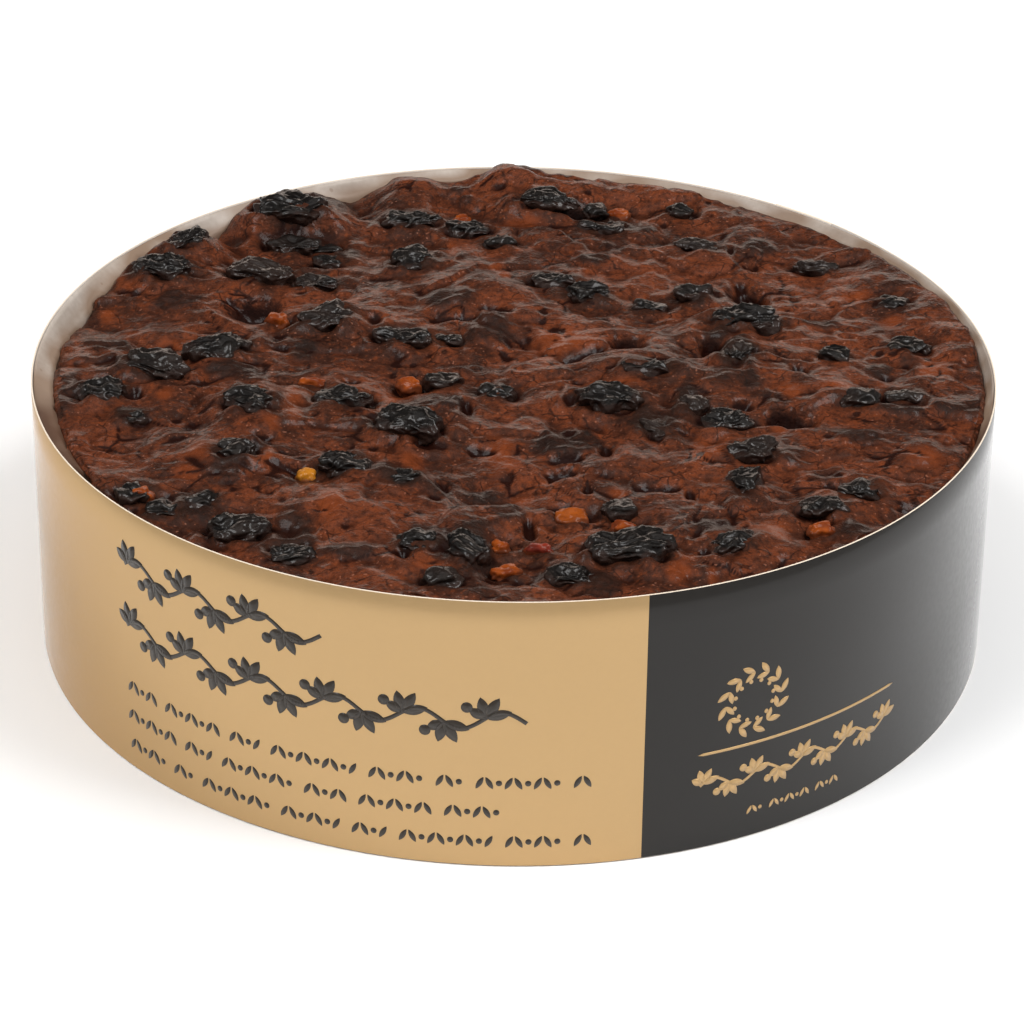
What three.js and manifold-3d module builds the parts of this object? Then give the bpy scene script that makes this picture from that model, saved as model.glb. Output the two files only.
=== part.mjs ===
// A round, uncut rich fruit cake standing in its printed card collar.
// Millimetres, +Z up. The origin is on the table under the middle of the collar, and -Y is the front.
import * as THREE from "three";
import { mergeVertices } from "three/addons/utils/BufferGeometryUtils.js";
import Module from "manifold-3d";

const wasm = await Module();
wasm.setup();

// ---- driving dimensions ----
const COLLAR_RADIUS = 90; // outside of the card
const COLLAR_HEIGHT = 53;
const CARD = 0.5; // thickness of the card
const COLLAR_FACETS = 120;
// The card's outer end is glued over its inner end at the back; degrees from +X.
const LAP_START = 45;
const LAP_END = 54;
const LAP_RAMP = 12; // stretch over which the outer end climbs on to the inner end

const CAKE_RADIUS = 87.8;
const CAKE_SHIFT = 0.8; // the cake has shrunk from the card, more on the left than on the right
const CAKE_WOBBLE = 0.3; // how far its side strays from a circle
const CRUMB_HEIGHT = 50.6; // height of the crumb at the edge
const CROWN = 1.2; // how much higher the middle stands
const SHOULDER = 1.4; // rounding of the top edge
const FOOT_ROUNDING = 1.6;
const TOP_RINGS = 19; // rings of the top's mesh: ring i has 6 i corners

const FRUIT_FLATNESS = 0.32; // half height of a fruit over its width
const FRUIT_LUMPINESS = 0.07;
const POCKET_CLEARANCE = 0.4; // between a raisin and the crumb round it
const FINE_LENGTH = 14.5; // raisins at least this long get the finer mesh

// ---- what lies in the top ----
// Raisins and other large fruit: x, y, length, width, turn from +X in degrees, and how much of its
// half height the middle of the fruit stands over the crumb.
const RAISINS = [
  [-45.5, 64.5, 15, 10, 0, 0.2],
  [-44, 54.5, 12, 5.5, 0, -0.2],
  [-65, 50, 9, 6.5, 50, 0],
  [-69, 39, 12, 8, -5, -0.1],
  [-49.5, 39.5, 13, 8.5, -15, 0],
  [-39, 36.5, 9, 5, 0, -0.4],
  [-36, 18, 11, 8.5, 25, 0.3],
  [-55.5, 6, 12, 8, 20, 0],
  [-67.5, -1.5, 13, 9, -20, 0.1],
  [-76, -12, 9, 8, 0, 0],
  [-48.5, -17.5, 10.5, 8, -35, 0],
  [-31.5, -14, 11, 7, 0, -0.2],
  [-19, -25, 12.5, 9, -20, 0.2],
  [-30, -39.5, 10, 7, 0, -0.1],
  [17.5, -14, 12.5, 8, -10, 0],
  [26.5, -23, 8, 6, -40, -0.2],
  [39.5, -20, 10.5, 6, 0, -0.1],
  [43.5, -32, 8.5, 7.5, 0, -0.1],
  [41.5, -43, 9, 5, 80, -0.2],
  [63.5, -12.5, 8, 5, 0, -0.4],
  [54.5, -51, 9.5, 5.5, 15, 0],
  [62, -45, 8, 6, 0, -0.2],
  [38.5, -65.5, 8, 5.5, 20, -0.2],
  [20, -68, 16, 9.5, 5, 0.1],
  [-7.5, -68.5, 9, 9, 0, 0],
  [-16, -67, 8, 5.5, 0, -0.2],
  [10.5, -75.5, 9, 5, -15, -0.1],
  [-47.5, -61.5, 12, 8.5, 5, 0],
  [-38.5, -70.5, 8, 6.5, 0, -0.2],
  [-50, -35.5, 8, 6, 0, -0.4],
  [-21, 65.5, 12, 6, 5, 0],
  [-9.5, 61.5, 9, 6, 0, -0.1],
  [-20, 46, 9.5, 8, 0, 0.4],
  [6.5, 71.5, 12, 6, -5, 0.4],
  [17.5, 63, 9, 4.5, 0, -0.1],
  [7.5, 38, 9, 5, 0, -0.2],
  [14, 32, 9, 5.5, 0, -0.2],
  [-21, 11.5, 11, 6.5, -5, 0],
  [24.5, -2, 10, 5, -5, -0.2],
  [36.5, 55, 9, 5, -20, -0.2],
  [59.5, 47, 9, 4.5, 0, -0.2],
  [44.5, 19, 13, 8, 0, 0.2],
  [42.5, 4.5, 7.5, 8, 0, -0.2],
  [75, 11, 8, 6, 0, -0.2],
];
// Small fruit, too small to lie loose: x, y, length, width, turn.
const SMALL_FRUIT = [
  [-70, -20, 6, 5, 0],
  [-13, -5, 6, 4.5, 0],
  [-3, -9.5, 7, 5, 0],
  [33, -14.5, 6, 7, 0],
  [72, -9.5, 7, 5, 0],
  [18.5, -53, 6, 4, 0],
  [-11.5, -79, 7, 5, 0],
  [-61.5, -54, 7, 5, 0],
  [-67.5, -48.5, 7, 5, -45],
  [-55, -50, 6, 5, 0],
  [-19.7, -44, 6, 4, 0],
  [-3.5, 55.5, 7, 4.5, 0],
  [-38, 54.5, 7, 4, 0],
  [-36, 48, 7, 4, 0],
  [16.5, 70.5, 6, 5, 0],
  [-12.5, 11, 5, 4, 0],
  [33.5, 70.5, 6, 4, 0],
  [35, 32.5, 7, 5, 40],
  [26.5, 28.5, 6, 4, 0],
  [61, 7, 6, 4.5, -30],
  [73, 29.5, 6.5, 5, 0],
];
// Nuts, peel and cherry: x, y, length, width, turn.
const NUTS = [
  [-45.5, 19.5, 4.5, 4.5, 0],
  [-19.5, -5.5, 4.5, 4.5, 0],
  [-37.7, -7, 5, 3, 0],
  [-36.7, -41.5, 4, 4, 0],
  [10.6, -54.5, 6, 5, 0],
  [19.5, -58.5, 5, 3.5, 0],
  [-1, -73, 5.5, 3.5, 20],
  [-2, -65, 3.5, 3.5, 0],
  [4.8, -65.5, 5, 3.5, 0],
  [54, -59, 4.5, 4, 0],
  [-11, 68.5, 4, 3.5, 0],
  [21, 71.5, 5, 4, 0],
  [-65.5, -48.5, 4.5, 4, 0],
];
// ---- the relief of the crumb ----
// Mounds, and pits where the height is below zero: x, y, length, width, turn, height.
const MOUNDS = [
  [0, 83, 18, 9, 0, 2.4],
  [-21, 80, 14, 9, 0, 2],
  [-45, 66, 20, 14, 0, 1.6],
  [-4, 15, 15, 10, -10, 1.6],
  [-5, 33, 20, 9, 3, 2],
  [-84, -14, 9, 10, 0, 1.4],
  [-84, -5, 8, 7, 0, 1.2],
  [-51, -36, 10, 8, 0, 1.2],
  [35, 31, 14, 12, 40, 1.4],
  [-60, 24, 18, 12, 0, 1.2],
  [-33, -52, 16, 14, 0, 1.2],
  [62, 62, 16, 8, -35, 1.2],
  [-51, 22.5, 9, 8, 0, -4],
  [10.5, 66, 11, 5, 0, -3.5],
  [-13, -31, 9, 6, 20, -3],
  [-36, -68, 7, 4, 0, -3],
  [45, 35, 6, 8, 0, -3],
  [21.5, 7.5, 7, 4, 0, -2.5],
  [49, -19.5, 10, 4, 0, -2.5],
  [37, 7, 5, 7, 0, -2.5],
  [-45, -29, 5, 4, 0, -2.5],
];
// How much higher the top stands at its edge: degrees from +X, and height. It rises to that over a
// band from EDGE_START to EDGE_END from the middle.
const EDGE_START = 68;
const EDGE_END = 85;
const EDGE_LIFTS = [
  [0, 1.4],
  [20, 2],
  [32, 2],
  [44, 1.8],
  [56, 2.4],
  [66, 2.2],
  [75, 2.1],
  [84, 2.8],
  [92, 3.4],
  [97, 1.4],
  [104, 2.2],
  [108, 2.4],
  [112, -2.4],
  [118, 2],
  [124, 1.2],
  [129, -1],
  [137, -2.4],
  [142, 4],
  [149, 2.6],
  [156, 0],
  [168, -1.4],
  [190, 0],
  [340, 0],
  [360, 1.4],
];
const WAVES = [
  { length: 25, height: 1.1 },
  { length: 12, height: 0.9 },
  { length: 7, height: 0.4 },
];

const radians = THREE.MathUtils.degToRad;

// A number from 0 to 1 that depends only on two whole numbers and a seed.
function hash(i, j, seed) {
  let h = Math.imul(i, 374761393) + Math.imul(j, 668265263) + Math.imul(seed, 1274126177);
  h = Math.imul(h ^ (h >>> 13), 1274126177);
  return ((h ^ (h >>> 16)) >>> 0) / 4294967295;
}

// Smooth noise from -1 to 1, its bumps about one unit apart.
function noise(x, y, seed) {
  const i = Math.floor(x);
  const j = Math.floor(y);
  const u = THREE.MathUtils.smoothstep(x - i, 0, 1);
  const v = THREE.MathUtils.smoothstep(y - j, 0, 1);
  const near = THREE.MathUtils.lerp(hash(i, j, seed), hash(i + 1, j, seed), u);
  const far = THREE.MathUtils.lerp(hash(i, j + 1, seed), hash(i + 1, j + 1, seed), u);
  return 2 * THREE.MathUtils.lerp(near, far, v) - 1;
}

// A bell over a turned ellipse: 1 in its middle, near 0 outside it.
function bell(x, y, [middleX, middleY, length, width, turn]) {
  const [cos, sin] = [Math.cos(radians(turn)), Math.sin(radians(turn))];
  const along = ((x - middleX) * cos + (y - middleY) * sin) / (length / 2);
  const across = ((y - middleY) * cos - (x - middleX) * sin) / (width / 2);
  return Math.exp(-2 * (along ** 2 + across ** 2));
}

// How much higher the edge of the top stands in one direction from the middle.
function edgeLift(x, y) {
  const angle = (THREE.MathUtils.radToDeg(Math.atan2(y, x)) + 360) % 360;
  const next = EDGE_LIFTS.findIndex(([degrees]) => degrees > angle);
  const [[from, low], [to, high]] = EDGE_LIFTS.slice(next - 1, next + 1);
  return THREE.MathUtils.lerp(low, high, THREE.MathUtils.smoothstep(angle, from, to));
}

// Height of the crumb over a point of the cake.
function crumbHeight(x, y) {
  let height = CRUMB_HEIGHT + CROWN * (1 - Math.hypot(x - CAKE_SHIFT, y) ** 2 / CAKE_RADIUS ** 2);
  WAVES.forEach((wave, k) => (height += wave.height * noise(x / wave.length, y / wave.length, k + 1)));
  MOUNDS.forEach((mound) => (height += mound[5] * bell(x, y, mound)));
  return height + edgeLift(x, y) * THREE.MathUtils.smoothstep(Math.hypot(x, y), EDGE_START, EDGE_END);
}

// ---- from geometries to solids and back ----
function solidOf(geometry) {
  const bare = geometry.clone();
  bare.deleteAttribute("normal");
  bare.deleteAttribute("uv");
  const merged = mergeVertices(bare, 1e-3);
  return new wasm.Manifold(
    new wasm.Mesh({
      numProp: 3,
      vertProperties: merged.attributes.position.array,
      triVerts: new Uint32Array(merged.index.array),
    })
  );
}

function geometryOf(solid) {
  const mesh = solid.getMesh();
  const geometry = new THREE.BufferGeometry();
  geometry.setAttribute("position", new THREE.BufferAttribute(mesh.vertProperties, 3));
  geometry.setIndex(new THREE.BufferAttribute(mesh.triVerts, 1));
  geometry.computeVertexNormals();
  return geometry;
}

function largestBody(solid) {
  return solid.decompose().reduce((best, body) => (body.volume() > best.volume() ? body : best));
}

// ---- the cake ----
// Corners round the cake at one inset from its side, counted from +X.
function cakeRing(count, inset, height) {
  return Array.from({ length: count }, (_, k) => {
    const angle = (2 * Math.PI * k) / count;
    const wobble = 1 + (CAKE_WOBBLE / CAKE_RADIUS) * (Math.sin(3 * angle + 1) + 0.6 * Math.sin(7 * angle));
    const radius = (CAKE_RADIUS - inset) * wobble;
    const [x, y] = [CAKE_SHIFT + radius * Math.cos(angle), radius * Math.sin(angle)];
    return [x, y, height(x, y)];
  });
}

// Triangles of the top between ring i and the ring inside it, which has six corners fewer.
function topFaces(i) {
  const outer = 1 + 3 * i * (i - 1);
  const inner = i === 1 ? 0 : outer - 6 * (i - 1);
  const innerCount = Math.max(1, 6 * (i - 1));
  const faces = [];
  for (let side = 0; side < 6; side++) {
    for (let k = 0; k < i; k++) {
      const a = outer + side * i + k;
      const b = outer + ((side * i + k + 1) % (6 * i));
      const c = inner + ((side * (i - 1) + k) % innerCount);
      faces.push(a, b, c);
      if (k > 0) faces.push(a, c, inner + side * (i - 1) + k - 1);
    }
  }
  return faces;
}

function cakeGeometry() {
  const corners = [[CAKE_SHIFT, 0, crumbHeight(CAKE_SHIFT, 0)]];
  const faces = [];
  for (let i = 1; i <= TOP_RINGS; i++) {
    const inset = CAKE_RADIUS - ((CAKE_RADIUS - SHOULDER) * i) / TOP_RINGS;
    corners.push(...cakeRing(6 * i, inset, crumbHeight));
    faces.push(...topFaces(i));
  }
  const count = 6 * TOP_RINGS;
  const bend = 1 - Math.SQRT1_2; // a quarter circle's middle, as shares of its radius
  const side = [
    [bend * SHOULDER, (x, y) => crumbHeight(x, y) - bend * SHOULDER],
    [0, (x, y) => crumbHeight(x, y) - SHOULDER],
    [0, () => FOOT_ROUNDING],
    [FOOT_ROUNDING, () => 0],
  ];
  for (const [inset, height] of side) {
    const below = corners.length;
    const above = below - count;
    corners.push(...cakeRing(count, inset, height));
    for (let k = 0; k < count; k++) {
      const next = (k + 1) % count;
      faces.push(above + k, below + k, below + next, above + k, below + next, above + next);
    }
  }
  const middle = corners.length;
  const foot = middle - count;
  corners.push([CAKE_SHIFT, 0, 0]);
  for (let k = 0; k < count; k++) faces.push(middle, foot + ((k + 1) % count), foot + k);
  const geometry = new THREE.BufferGeometry();
  geometry.setAttribute("position", new THREE.BufferAttribute(new Float32Array(corners.flat()), 3));
  geometry.setIndex(faces);
  return geometry;
}

// ---- fruit: lumpy, flattened drops set in the crumb, grown a little for their pockets ----
function fruit([x, y, length, width, turn, seat = 0], detail, seed, grow = 0) {
  const geometry = new THREE.IcosahedronGeometry(1, detail);
  const position = geometry.attributes.position;
  const point = new THREE.Vector3();
  for (let k = 0; k < position.count; k++) {
    point.fromBufferAttribute(position, k);
    const lump = Math.sin(3.1 * point.x + seed) * Math.cos(2.7 * point.y - seed);
    point.multiplyScalar(1 + FRUIT_LUMPINESS * (lump + 0.6 * Math.sin(4.3 * point.z + 2 * seed)));
    position.setXYZ(k, point.x, point.y, point.z);
  }
  const halfHeight = FRUIT_FLATNESS * width;
  geometry.scale(length / 2 + grow, width / 2 + grow, halfHeight + grow);
  geometry.rotateZ(radians(turn));
  geometry.translate(x, y, crumbHeight(x, y) + seat * halfHeight);
  return geometry;
}

const raisin = (place, k, grow) => fruit(place, place[2] < FINE_LENGTH ? 1 : 2, k, grow);

// Small fruit and nuts are part of the crumb; each raisin lies in a pocket of its own shape.
function cakeWithFruit() {
  let cake = solidOf(cakeGeometry());
  for (const [k, place] of [...SMALL_FRUIT, ...NUTS].entries()) cake = cake.add(solidOf(fruit(place, 0, k)));
  for (const [k, place] of RAISINS.entries()) {
    cake = cake.subtract(solidOf(raisin(place, k, POCKET_CLEARANCE)));
  }
  return geometryOf(largestBody(cake));
}

// ---- the collar: one strip of card, its outer end lapped over its inner end ----
function collarGeometry() {
  // One round from where an end is cut; its last stretch climbs by one card on to the inner end.
  const outline = (radius, cut) =>
    Array.from({ length: COLLAR_FACETS + 1 }, (_, k) => {
      const degrees = cut + (360 * k) / COLLAR_FACETS;
      const climb = THREE.MathUtils.smoothstep(degrees, 360 + LAP_START - LAP_RAMP, 360 + LAP_START);
      const reach = radius + CARD * climb;
      return new THREE.Vector2(reach * Math.cos(radians(degrees)), reach * Math.sin(radians(degrees)));
    });
  const shape = new THREE.Shape(outline(COLLAR_RADIUS, LAP_END));
  shape.holes.push(new THREE.Path(outline(COLLAR_RADIUS - CARD, LAP_START)));
  return new THREE.ExtrudeGeometry(shape, { depth: COLLAR_HEIGHT, bevelEnabled: false });
}

// ---- assembly ----
const group = new THREE.Group();

function addPart(name, geometry, color, roughness, metalness = 0) {
  const mesh = new THREE.Mesh(geometry, new THREE.MeshStandardMaterial({ color, roughness, metalness }));
  mesh.name = name;
  group.add(mesh);
}

addPart("cake", cakeWithFruit(), 0x5a2d1c, 0.45);
addPart("collar", collarGeometry(), 0xc9ab7c, 0.35, 0.6);
for (const [k, place] of RAISINS.entries()) {
  addPart(`raisin_${String(k + 1).padStart(2, "0")}`, raisin(place, k), 0x1d191d, 0.35);
}

export default group;
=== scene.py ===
"""The looks of a rich fruit cake in its printed card collar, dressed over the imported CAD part.

Shapes are worked out in millimetres and become metres when their mesh is made.
"""
import itertools
import math

import bmesh
import bpy
import numpy as np
from mathutils import Matrix, Vector
from mathutils.bvhtree import BVHTree


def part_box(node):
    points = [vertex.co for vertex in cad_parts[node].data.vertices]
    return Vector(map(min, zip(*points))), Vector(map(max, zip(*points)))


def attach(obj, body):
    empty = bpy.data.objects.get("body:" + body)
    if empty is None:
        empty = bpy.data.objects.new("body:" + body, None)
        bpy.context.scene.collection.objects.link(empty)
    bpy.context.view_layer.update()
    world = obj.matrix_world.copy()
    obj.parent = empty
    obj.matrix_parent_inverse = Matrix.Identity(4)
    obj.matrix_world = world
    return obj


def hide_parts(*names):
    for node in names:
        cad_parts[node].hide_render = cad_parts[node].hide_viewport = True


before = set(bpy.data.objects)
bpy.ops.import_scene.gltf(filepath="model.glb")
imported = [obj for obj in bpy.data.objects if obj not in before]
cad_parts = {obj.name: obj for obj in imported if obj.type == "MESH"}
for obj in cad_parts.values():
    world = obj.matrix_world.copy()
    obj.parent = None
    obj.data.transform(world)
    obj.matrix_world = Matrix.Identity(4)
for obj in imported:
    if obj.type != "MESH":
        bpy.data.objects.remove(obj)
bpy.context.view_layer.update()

MM = 0.001
TURN = 2 * math.pi

# ---- sizes, from the frame ----
COLLAR_LOW, COLLAR_HIGH = (np.array(corner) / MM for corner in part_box("collar"))
COLLAR_RADIUS = (COLLAR_HIGH[0] - COLLAR_LOW[0]) / 2
COLLAR_HEIGHT = COLLAR_HIGH[2] - COLLAR_LOW[2]
CAKE_LOW, CAKE_HIGH = (np.array(corner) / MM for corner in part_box("cake"))
CAKE_MIDDLE = (CAKE_LOW + CAKE_HIGH) / 2

# ---- the photograph's view ----
PICTURE = 1024  # pixels each way
VIEW_DISTANCE = 752.4  # from the camera to what it looks at, in millimetres
VIEW_AIM = 20.7  # height of what it looks at
ELEVATION = math.radians(28.84)
ROLL = math.radians(0.73)
LENS = 138.2
SENSOR = 36  # its width, in the lens's millimetres

# ---- the cake, in millimetres ----
SKIN_LEVEL = 51.0  # height at which a place seen in the photograph is taken to lie
SLIMMEST = 1.5  # the least that such a place measures from front to back
HOLLOW_SHARE = 0.6  # a hollow's far wall shows too, so from front to back it is this share of its box
HOLLOW_STRETCH = 2  # and at most so many times as long as it is wide
TOP_COUNT = 300  # grid lines each way over the top
GRID = (TOP_COUNT, TOP_COUNT)
SHOULDER = 1.4  # rounding of the top edge
SHOULDER_STEPS = 4
WALL_STEPS = 5
FOOT_ROUNDING = 1.6
SMOOTHING = 2.0  # grid steps by which the solid's facets are smoothed
SUNK = 0.4  # how far small fruit sinks below its place on the solid
FRUIT_MARGIN = 0.9  # round each fruit, how much more of the solid's top is filled over

# Relief of the skin: length, width and seed of its bumps, and their height.
BILLOWS = (  # and the share of the height that smooth stretches keep
    (14, 12, 15, 1.0, 1),
    (6.5, 5.5, 16, 0.6, 1),
    (3.2, 2.9, 18, 0.35, 0.4),
    (1.7, 1.6, 19, 0.15, 0.25),
)
LEDGES = (  # where a sheet of crumb ends, and how gently it steps up
    (20, 15, 27, 0.8, 0.06),
    (12, 9, 28, 0.4, 0.07),
)
FOLDS = ((17, 10, 31, 0.35), (9, 6, 32, 0.16))
FOLD_WIDTH = 0.08
RELIEF_MEAN = 1.4  # about what all of it comes to, taken off again
SHALLOW_CUT = 0.9  # depth of pits and cracks
DEEP_CUT = 2.2  # depth of hollows, and once more where they are wells

BED_REACH = 2.8  # how far out from a fruit the crumb is drawn up to it
SEAM_WIDTH = 0.5  # of the gap round a fruit
SEAM_DEPTH = 0.6
# how far out from a fruit the crumb is coloured darker
NEAR_FRUIT_DARK_REACH = 1.6

# ---- fruit ----
LARGE = 5.0  # half length from which a raisin counts as large
LARGE_BURIED = 0.25  # how far up its side the crumb comes, -1 to 1
MEDIUM_BURIED = 0.42
FOLD_RISE = 0.95  # of a raisin's skin
CREASE_RISE = 0.45
LUMP_RISE = 1.2

# Small fruit: x, y, length, width, turn in degrees.
SMALL_FRUIT = [
    (-70, -20, 6, 5, 0), (-13, -5, 6, 4.5, 0), (-3, -9.5, 7, 5, 0), (33, -14.5, 6, 7, 0),
    (72, -9.5, 7, 5, 0), (18.5, -53, 6, 4, 0), (-11.5, -79, 7, 5, 0), (-61.5, -54, 7, 5, 0),
    (-67.5, -48.5, 7, 5, -45), (-55, -50, 6, 5, 0), (-19.7, -44, 6, 4, 0), (-3.5, 55.5, 7, 4.5, 0),
    (-38, 54.5, 7, 4, 0), (-36, 48, 7, 4, 0), (16.5, 70.5, 6, 5, 0), (-12.5, 11, 5, 4, 0),
    (33.5, 70.5, 6, 4, 0), (35, 32.5, 7, 5, 40), (26.5, 28.5, 6, 4, 0), (61, 7, 6, 4.5, -30),
    (73, 29.5, 6.5, 5, 0),
]
NUTS = [
    (-45.5, 19.5, 4.5, 4.5, 0), (-19.5, -5.5, 4.5, 4.5, 0), (-37.7, -7, 5, 3, 0),
    (-36.7, -41.5, 4, 4, 0), (10.6, -54.5, 6, 5, 0), (19.5, -58.5, 5, 3.5, 0), (-1, -73, 5.5, 3.5, 20),
    (-2, -65, 3.5, 3.5, 0), (54, -59, 4.5, 4, 0), (-11, 68.5, 4, 3.5, 0), (21, 71.5, 5, 4, 0),
    (-65.5, -48.5, 4.5, 4, 0),
]
CHERRIES = [(4.8, -65.5, 5, 3.5, 0)]

# What lies in the skin, boxed in the photograph, a few of the boxes adjusted since: the box's middle across
# and down, its width and height, all in pixels, and where it isn't nought its turn on the cake in degrees.
# Dark fruit just under the skin.
SUNKEN = [
    (160, 243, 44, 18), (178, 302, 46, 18), (108, 345, 52, 16), (72, 392, 26, 34), (232, 372, 56, 14),
    (305, 352, 30, 18), (228, 468, 40, 30), (195, 500, 40, 24), (155, 508, 22, 14), (296, 528, 40, 36),
    (388, 472, 34, 16), (404, 484, 34, 14), (350, 552, 50, 14), (462, 540, 56, 44), (424, 530, 40, 14),
    (505, 509, 38, 20), (482, 488, 34, 12), (432, 405, 64, 16), (566, 440, 70, 30), (650, 424, 60, 20),
    (690, 405, 22, 36), (748, 388, 24, 14), (712, 524, 46, 18), (588, 572, 70, 16, -24),
    (600, 586, 40, 10), (856, 526, 34, 20), (735, 362, 44, 34), (722, 340, 30, 14), (820, 325, 36, 10),
    (858, 438, 44, 14), (758, 250, 30, 12), (492, 333, 58, 26), (448, 306, 50, 20), (350, 253, 26, 12),
    (604, 224, 60, 12), (905, 412, 40, 14), (640, 232, 30, 8), (560, 180, 60, 10), (700, 300, 26, 14),
    (880, 372, 26, 14), (590, 262, 40, 10), (130, 415, 30, 16), (530, 182, 30, 10),
]
# Peel and nuts that shine through the skin.
GLOWS = [
    (130, 280, 20, 22), (108, 308, 14, 12), (168, 346, 24, 14), (166, 395, 16, 10), (312, 384, 28, 14),
    (294, 410, 20, 32), (392, 398, 18, 10), (270, 430, 16, 10), (268, 462, 14, 8), (452, 250, 9, 16),
    (494, 273, 12, 8), (506, 279, 12, 8), (520, 226, 36, 8), (660, 192, 14, 10), (544, 362, 18, 10),
    (412, 462, 24, 18), (432, 566, 38, 10), (619, 493, 16, 14), (690, 556, 16, 12), (678, 571, 24, 16),
    (712, 572, 12, 10), (782, 430, 18, 8), (772, 528, 40, 16), (890, 326, 24, 12), (756, 298, 26, 14),
    (706, 450, 34, 20), (792, 396, 22, 12), (520, 490, 22, 10), (935, 372, 34, 16), (925, 456, 34, 18),
    (200, 455, 40, 20), (186, 470, 24, 10), (330, 510, 24, 30), (500, 450, 30, 30), (620, 390, 30, 10),
    (860, 300, 30, 12), (560, 345, 60, 24), (840, 395, 30, 12), (320, 400, 16, 10),
]
# Deep hollows and splits.
HOLES = [
    (572, 215, 48, 14), (428, 446, 30, 11), (442, 482, 12, 16), (468, 408, 11, 40), (566, 458, 40, 11),
    (571, 405, 14, 16), (786, 420, 44, 17, -30), (743, 407, 16, 10), (624, 348, 26, 17, -40),
    (742, 283, 13, 18), (744, 299, 14, 8), (711, 352, 16, 26), (656, 485, 38, 8), (706, 551, 12, 14),
    (304, 548, 20, 14), (168, 494, 12, 16), (262, 439, 16, 9), (528, 521, 14, 22), (826, 518, 26, 7),
    (377, 326, 12, 16), (552, 474, 10, 12), (452, 323, 50, 8, 10), (496, 314, 34, 10, -20),
    (582, 360, 44, 8, 36), (731, 252, 8, 20), (404, 552, 8, 16), (560, 470, 30, 8), (92, 378, 30, 8),
    (136, 392, 12, 14), (606, 450, 11, 30), (480, 446, 24, 10), (640, 298, 10, 8), (800, 375, 16, 14),
    (806, 365, 6, 8), (888, 378, 10, 8), (870, 495, 14, 10), (905, 500, 14, 10), (588, 488, 8, 14),
    (690, 492, 8, 16), (232, 300, 10, 8), (350, 380, 20, 4),
]
# The deepest of them, like the small fruit in millimetres on the cake.
WELLS = [
    (-50, 25.4, 8, 10.5, 0), (11.5, 70.5, 9, 4.5, 0), (46, 35, 5, 8, 20), (21.5, 9.5, 6.5, 5, -40),
    (51, -18.5, 8.5, 4.5, -30), (37.5, 9, 3.5, 6, 0),
]

# ---- the collar ----
CARD = 0.3
LAP_START = 45  # degrees from +X: where the card's inner end lies at the back
LAP_LENGTH = 9  # degrees by which its outer end passes it
LAP_RAMP = 12
COLLAR_STEP = 0.5  # degrees a facet
CARD_BANDS = 8  # bands of facets from foot to rim
CUT_ROUNDING = 0.08  # of the card's cut edges
INK_EDGE = -75  # degrees from +X: gold to the left of it, dark grey to the right

# ---- the greaseproof paper between cake and collar ----
PAPER = 0.12
PAPER_FOOT = 4  # height of its lower edge
PAPER_TOP = COLLAR_HEIGHT - 0.25
PAPER_STEP = 1.5  # degrees a facet
PAPER_LEAN = 5  # steps in which it leans out from the crumb's edge to the card
PAPER_TORN = (182, 198, 342, 356)  # degrees between which it is torn down to the crumb's edge in front
PAPER_SOAKED = (172, 194, 344, 362)  # between which it is soaked right through
PAPER_HIDDEN = (197, 207, 335, 344)  # and between which it no longer leans out


# ---- noise ----
def hashed(cells, seed):
    """A number from 0 to 1 for each row of whole numbers."""
    cells = cells.astype(np.int64)
    mixed = cells @ np.array([374761393, 668265263, 1440662683][: cells.shape[-1]]) + seed * 1274126177
    mixed &= 0xFFFFFFFF
    mixed = ((mixed ^ (mixed >> 13)) * 1274126177) & 0xFFFFFFFF
    return (mixed ^ (mixed >> 16)) / 0xFFFFFFFF


def noise(points, seed):
    """Smooth gradient noise over rows of x, y, z, about -1 to 1, its bumps about one unit apart."""
    base = np.floor(points)
    local = points - base
    ease = local**3 * (local * (local * 6 - 15) + 10)
    total = np.zeros(len(points))
    for corner in itertools.product((0, 1), repeat=3):
        angle = TURN * hashed(base + corner, seed)
        rise = 2 * hashed(base + corner, seed + 101) - 1
        flat = np.sqrt(1 - rise**2)
        slope = np.column_stack([flat * np.cos(angle), flat * np.sin(angle), rise])
        weight = np.prod(np.where(corner, ease, 1 - ease), axis=1)
        total += weight * ((local - corner) * slope).sum(axis=1)
    return 1.7 * total


def plane_noise(x, y, length, width, seed):
    """Noise over a plane, its bumps length by width."""
    return noise(np.column_stack([x / length, y / width, np.full(len(x), 0.37 + seed)]), seed)


def cells(x, y, length, width, seed):
    """For a plane of jittered cells: how deep each point lies in its cell, and that cell's random number."""
    points = np.column_stack([x / length, y / width])
    base = np.floor(points)
    nearest = np.full(len(points), 9.0)
    second = np.full(len(points), 9.0)
    own = np.zeros(len(points))
    for step in itertools.product((-1, 0, 1), repeat=2):
        cell = base + step
        middle = cell + np.column_stack([hashed(cell, seed), hashed(cell, seed + 1)])
        away = points - middle
        distance = np.hypot(away[:, 0], away[:, 1])
        closer = distance < nearest
        second = np.where(closer, nearest, np.minimum(second, distance))
        own = np.where(closer, hashed(cell, seed + 2), own)
        nearest = np.where(closer, distance, nearest)
    return second - nearest, own


def step_up(value, low, high):
    """A smooth step from 0 at low to 1 at high."""
    share = np.clip((value - low) / (high - low), 0, 1)
    return share * share * (3 - 2 * share)


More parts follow.
